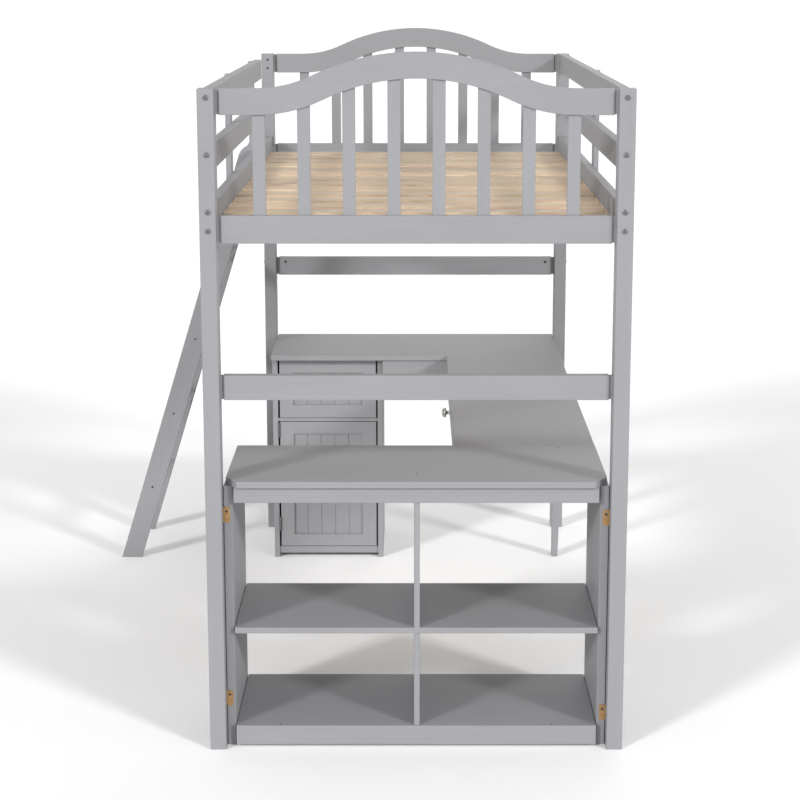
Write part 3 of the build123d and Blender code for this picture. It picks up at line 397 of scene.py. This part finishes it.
def spun_metal(name, node, axis):
    """Satin nickel turned on a lathe: fine rings round the knob's own axis."""
    graph = Graph(name)
    low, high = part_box(node)
    centre = (low + high) / 2
    offset = graph.vector("SUBTRACT", graph.place(), tuple(centre))
    flat = [0.0 if letter == axis else 1.0 for letter in "xyz"]
    reach = graph.vector("LENGTH", graph.vector("MULTIPLY", offset, tuple(flat)))
    along = graph.add("SeparateXYZ", {"Vector": offset}).outputs["xyz".index(axis)]
    joined = graph.add("CombineXYZ", {"X": reach, "Y": along})
    rings = graph.scaled(joined.outputs["Vector"], (0.00025, 0.00025, 1.0))
    turned = graph.noise(rings, 2.0, 0.7)
    cloud = graph.noise(graph.scaled(graph.place(), (0.012,) * 3), 2.0)
    colour = graph.mix(graph.remap(turned, 0.35, 0.65), NICKEL, NICKEL_DULL)
    gloss = graph.vary(cloud, 0.14, 0.30)
    normal = graph.bump(turned, 0.00001)
    return graph.finish(colour, gloss, normal, Metallic=1.0)


def dress(names, material):
    for name in names:
        for slot in nodes[name].material_slots:
            slot.material = material


ladder_lean = math.atan(LADDER_SLOPE)
slat_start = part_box("bed_slats")[0].y - HALF_GAP

dress(ALONG_X, painted_wood("painted_wood_along_x", "x"))
dress(ALONG_Y, painted_wood("painted_wood_along_y", "y"))
dress(ALONG_Z, painted_wood("painted_wood_along_z", "z"))
dress(LEANING, painted_wood("painted_wood_leaning", "z", ladder_lean))
dress(("bed_slats",), bare_pine("bare_pine_slats", "x", SLAT_PITCH, slat_start))
dress(
    ("desk_cross_rails", "drawer_runners", "desk_drawer_box", "cabinet_drawer_box"),
    drawer_wood("drawer_wood_birch"),
)
dress(
    ("frame_bolts", "hinge_cabinet_leaves", "hinge_door_leaves", "hinge_pins"),
    plated_metal("zinc_steel_plated", ZINC, ZINC_DULL, 0.34),
)
dress(
    ("barrel_nuts", "wood_screws"),
    plated_metal("zinc_steel_screws", SCREW_ZINC, SCREW_DULL, 0.45),
)
dress(
    ("corner_brackets",),
    plated_metal("brass_plate_stamped", BRASS, BRASS_DULL, 0.42, 0.006),
)
dress(("desk_drawer_knob",), spun_metal("satin_nickel_desk", "desk_drawer_knob", "x"))
dress(("cabinet_drawer_knob",), spun_metal("satin_nickel_drawer", "cabinet_drawer_knob", "y"))
dress(("cabinet_door_knob",), spun_metal("satin_nickel_door", "cabinet_door_knob", "y"))

# ---------------------------------------------------------------- studio


def key_light(name, azimuth, elevation, strength, spread):
    """A far softbox: azimuth is measured from straight in front of the bookcase end."""
    lamp = bpy.data.lights.new(name, "SUN")
    lamp.energy = strength
    lamp.angle = math.radians(spread)
    thing = bpy.data.objects.new(name, lamp)
    bpy.context.scene.collection.objects.link(thing)
    turn, rise = math.radians(azimuth), math.radians(elevation)
    flat = math.cos(rise)
    source = Vector((math.sin(turn) * flat, -math.cos(turn) * flat, math.sin(rise)))
    thing.rotation_euler = source.to_track_quat("Z", "Y").to_euler()


def studio_floor():
    mesh = bpy.data.meshes.new("floor")
    signs = ((-1, -1), (1, -1), (1, 1), (-1, 1))
    corners = [(x * FLOOR_HALF, y * FLOOR_HALF, 0) for x, y in signs]
    mesh.from_pydata(corners, [], [(0, 1, 2, 3)])
    floor = bpy.data.objects.new("floor", mesh)
    bpy.context.scene.collection.objects.link(floor)
    floor.location.z = cad_box[0].z - FLOOR_DROP
    graph = Graph("pale_floor")
    cloud = graph.noise(graph.scaled(graph.place(), (0.9,) * 3), 3.0)
    grit = graph.noise(graph.scaled(graph.place(), (0.004,) * 3), 2.0)
    colour = graph.mix(cloud, FLOOR_LOW, FLOOR_HIGH)
    paint = graph.finish(colour, 0.9, graph.bump(grit, 0.0001), Specular_IOR_Level=0.0)
    mesh.materials.append(paint)


def studio_world():
    """White round the horizon and dimmer overhead."""
    world = bpy.data.worlds.new("studio")
    world.use_nodes = True
    tree = world.node_tree
    parts = tree.nodes.new("ShaderNodeSeparateXYZ")
    sky = tree.nodes.new("ShaderNodeTexCoord")
    tree.links.new(sky.outputs["Generated"], parts.inputs["Vector"])
    fade = tree.nodes.new("ShaderNodeMapRange")
    fade.interpolation_type = "SMOOTHSTEP"
    levels = {
        "From Min": FADE_START,
        "From Max": FADE_END,
        "To Min": 1.0,
        "To Max": OVERHEAD,
    }
    for name, value in levels.items():
        fade.inputs[name].default_value = value
    tree.links.new(parts.outputs["Z"], fade.inputs["Value"])
    background = tree.nodes["Background"]
    tree.links.new(fade.outputs["Result"], background.inputs["Strength"])
    background.inputs["Color"].default_value = (1.0, 1.0, 1.0, 1.0)
    bpy.context.scene.world = world


studio_floor()
studio_world()
key_light("key_left", azimuth=-42, elevation=25, strength=1.65, spread=9)
key_light("key_right", azimuth=47, elevation=25, strength=1.65, spread=9)
key_light("fill_back", azimuth=165, elevation=16, strength=0.50, spread=40)

bed_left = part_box("front_left_post")[0]
bed_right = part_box("front_right_post")[1]
bed_middle = (bed_left.x + bed_right.x) / 2
camera_data = bpy.data.cameras.new("camera")
camera_data.lens = LENS
camera_data.sensor_width = SENSOR
camera_data.shift_x = SHIFT_X
camera_data.shift_y = SHIFT_Y
camera = bpy.data.objects.new("camera", camera_data)
bpy.context.scene.collection.objects.link(camera)
camera.location = (bed_middle + CAMERA_ASIDE, bed_left.y - CAMERA_BACK, CAMERA_HIGH)
camera.rotation_euler = (math.pi / 2 - CAMERA_PITCH, 0.0, 0.0)
bpy.context.scene.camera = camera
bpy.context.scene.view_settings.view_transform = "Standard"
